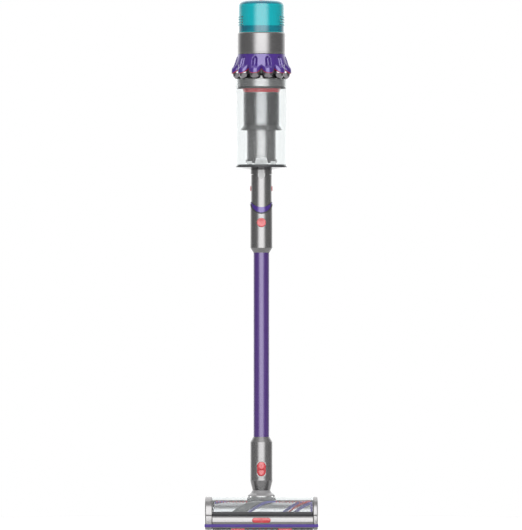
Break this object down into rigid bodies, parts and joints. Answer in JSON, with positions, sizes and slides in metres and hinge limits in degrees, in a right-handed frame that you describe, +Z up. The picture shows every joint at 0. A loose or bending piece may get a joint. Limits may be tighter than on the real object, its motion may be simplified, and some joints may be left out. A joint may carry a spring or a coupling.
{
  "type": "cordless stick vacuum",
  "caption": "Cordless stick vacuum: cyclone motor unit with clear bin and handle, wand with built-in tool, and a pivoting brush head.",
  "frame": {"origin": "on the floor under the wand's axis, at the sole of the cleaner head", "axes": "+Z up along the wand, -Y to the front of the cleaner head, +X to the right as seen from the front, handle towards +Y"},
  "size_m": [0.2602, 0.2871, 1.2181],
  "materials": {
    "teal": "glossy moulded plastic with a metallic flake",
    "purple": "glossy moulded plastic",
    "violet": "satin moulded plastic",
    "nickel": "plastic with a satin nickel look",
    "tube_purple": "anodised, satin",
    "steel": "fine perforated steel, satin",
    "chrome": "bright metallised plastic",
    "alloy": "machined",
    "dark": "fine grained",
    "black": "soft matte rubber",
    "lens": "polished black lens",
    "red": "glossy moulded plastic",
    "clear": "clear polycarbonate",
    "pale": "light gray, slightly translucent",
    "filter": "pleated filter paper",
    "board": "circuit board",
    "cell": "shrink-wrapped cell",
    "motor": "satin",
    "bristle": "stiff nylon bristle",
    "felt": "soft dense pile",
    "tyre": "soft rolling tread"
  },
  "bodies": {
    "main": {"motor_housing": "nickel", "motor_body": "motor", "cyclone_cover": "purple", "cyclone_cones": "chrome", "cyclone_manifold": "dark", "bin_top_ring": "nickel", "bin_seal_lip": "black", "shroud_seal_ring": "red", "shroud_mesh": "steel", "shroud_skirt": "dark", "inner_duct": "nickel", "handle_left_shell": "dark", "handle_right_shell": "dark", "housing_screws": "steel", "display_lens": "lens", "control_board": "board", "bin_runner": "dark"},
    "rotor": {"impeller": "alloy"},
    "filter": {"filter_cap": "teal", "filter_pleats": "filter", "filter_boss": "red"},
    "power_key": {"power_button": "red"},
    "battery": {"battery_case": "dark", "battery_cells": "cell"},
    "battery_key": {"battery_latch": "red"},
    "release_lever": {"bin_release_lever": "red"},
    "bin": {"bin_cylinder": "clear"},
    "bin_base": {"bin_lid": "dark", "lid_clips": "pale", "inlet_neck": "nickel", "lid_catch": "pale"},
    "tool": {"tool_collar": "nickel", "crevice_nozzle": "dark"},
    "tool_key_left": {"side_button_left": "red"},
    "tool_key_right": {"side_button_right": "red"},
    "wand": {"wand_sleeve": "purple", "wand_rim_seal": "black", "wand_upper_collar": "nickel", "wand_tube": "tube_purple", "wand_lower_collar": "nickel"},
    "wand_key": {"wand_button": "red"},
    "head_key": {"head_button": "red"},
    "cuff": {"neck_cuff": "nickel"},
    "yoke": {"neck_yoke": "pale", "neck_bellows": "black"},
    "head": {"head_chassis": "dark", "brush_window": "clear", "end_cap_left": "nickel", "debris_comb": "red", "front_bumper": "nickel", "bumper_strip": "violet", "sole_plate": "dark", "brush_motor": "motor"},
    "brush": {"brush_core": "alloy", "bristle_strips": "bristle", "felt_strip": "felt"},
    "end_cap": {"brush_release_cap": "nickel"},
    "wheel_left": {"rear_wheel_left": "tyre"},
    "wheel_right": {"rear_wheel_right": "tyre"},
    "gates": {"gate_slider": "red"}
  },
  "joints": [
    {"name": "impeller_spin", "type": "hinge", "parent": "main", "child": "rotor", "pos_m": [0, 0, 1.11], "axis": [0, 0, 1], "continuous": true},
    {"name": "filter_twist", "type": "hinge", "parent": "main", "child": "filter", "pos_m": [0, 0, 1.15], "axis": [0, 0, 1], "range_deg": [0, 30]},
    {"name": "power_press", "type": "slide", "parent": "main", "child": "power_key", "axis": [0, 0, -1], "range_m": [0, 0.0015], "stiffness_N_per_m": 300},
    {"name": "battery_slide", "type": "slide", "parent": "main", "child": "battery", "axis": [0, 0, -1], "range_m": [0, 0.06]},
    {"name": "battery_latch_press", "type": "slide", "parent": "battery", "child": "battery_key", "axis": [0, -1, 0], "range_m": [0, 0.0012], "stiffness_N_per_m": 400},
    {"name": "bin_release_slide", "type": "slide", "parent": "main", "child": "release_lever", "axis": [0, 0, -1], "range_m": [0, 0.008], "stiffness_N_per_m": 150, "springref_m": -0.001},
    {"name": "bin_slide", "type": "slide", "parent": "main", "child": "bin", "axis": [0, 0, -1], "range_m": [0, 0.06]},
    {"name": "lid_swing", "type": "hinge", "parent": "bin", "child": "bin_base", "pos_m": [0, 0.0625, 0.832], "axis": [1, 0, 0], "range_deg": [0, 90]},
    {"name": "tool_release", "type": "slide", "parent": "bin_base", "child": "tool", "axis": [0, 0, -1], "range_m": [0, 0.03]},
    {"name": "tool_button_left_press", "type": "slide", "parent": "tool", "child": "tool_key_left", "axis": [1, 0, 0], "range_m": [0, 0.0012], "stiffness_N_per_m": 400},
    {"name": "tool_button_right_press", "type": "slide", "parent": "tool", "child": "tool_key_right", "axis": [-1, 0, 0], "range_m": [0, 0.0012], "stiffness_N_per_m": 400},
    {"name": "wand_release", "type": "slide", "parent": "tool", "child": "wand", "axis": [0, 0, -1], "range_m": [0, 0.05]},
    {"name": "wand_button_press", "type": "slide", "parent": "wand", "child": "wand_key", "axis": [0, 1, 0], "range_m": [0, 0.0015], "stiffness_N_per_m": 400},
    {"name": "head_button_press", "type": "slide", "parent": "wand", "child": "head_key", "axis": [0, 1, 0], "range_m": [0, 0.0012], "stiffness_N_per_m": 400},
    {"name": "head_release", "type": "slide", "parent": "wand", "child": "cuff", "axis": [0, 0, -1], "range_m": [0, 0.04]},
    {"name": "neck_swivel", "type": "hinge", "parent": "cuff", "child": "yoke", "pos_m": [0, 0, 0.09], "axis": [0, 0, 1], "range_deg": [-60, 60]},
    {"name": "neck_pitch", "type": "hinge", "parent": "yoke", "child": "head", "pos_m": [0, 0.006, 0.05], "axis": [1, 0, 0], "range_deg": [0, 75]},
    {"name": "brush_spin", "type": "hinge", "parent": "head", "child": "brush", "pos_m": [0, -0.046, 0.0364], "axis": [1, 0, 0], "continuous": true},
    {"name": "end_cap_turn", "type": "hinge", "parent": "head", "child": "end_cap", "pos_m": [0.125, -0.046, 0.0364], "axis": [1, 0, 0], "range_deg": [0, 45]},
    {"name": "wheel_left_spin", "type": "hinge", "parent": "head", "child": "wheel_left", "pos_m": [-0.031, 0.024, 0.009], "axis": [1, 0, 0], "continuous": true},
    {"name": "wheel_right_spin", "type": "hinge", "parent": "head", "child": "wheel_right", "pos_m": [0.031, 0.024, 0.009], "axis": [1, 0, 0], "continuous": true},
    {"name": "gate_slide", "type": "slide", "parent": "head", "child": "gates", "axis": [1, 0, 0], "range_m": [-0.006, 0.006]}
  ]
}
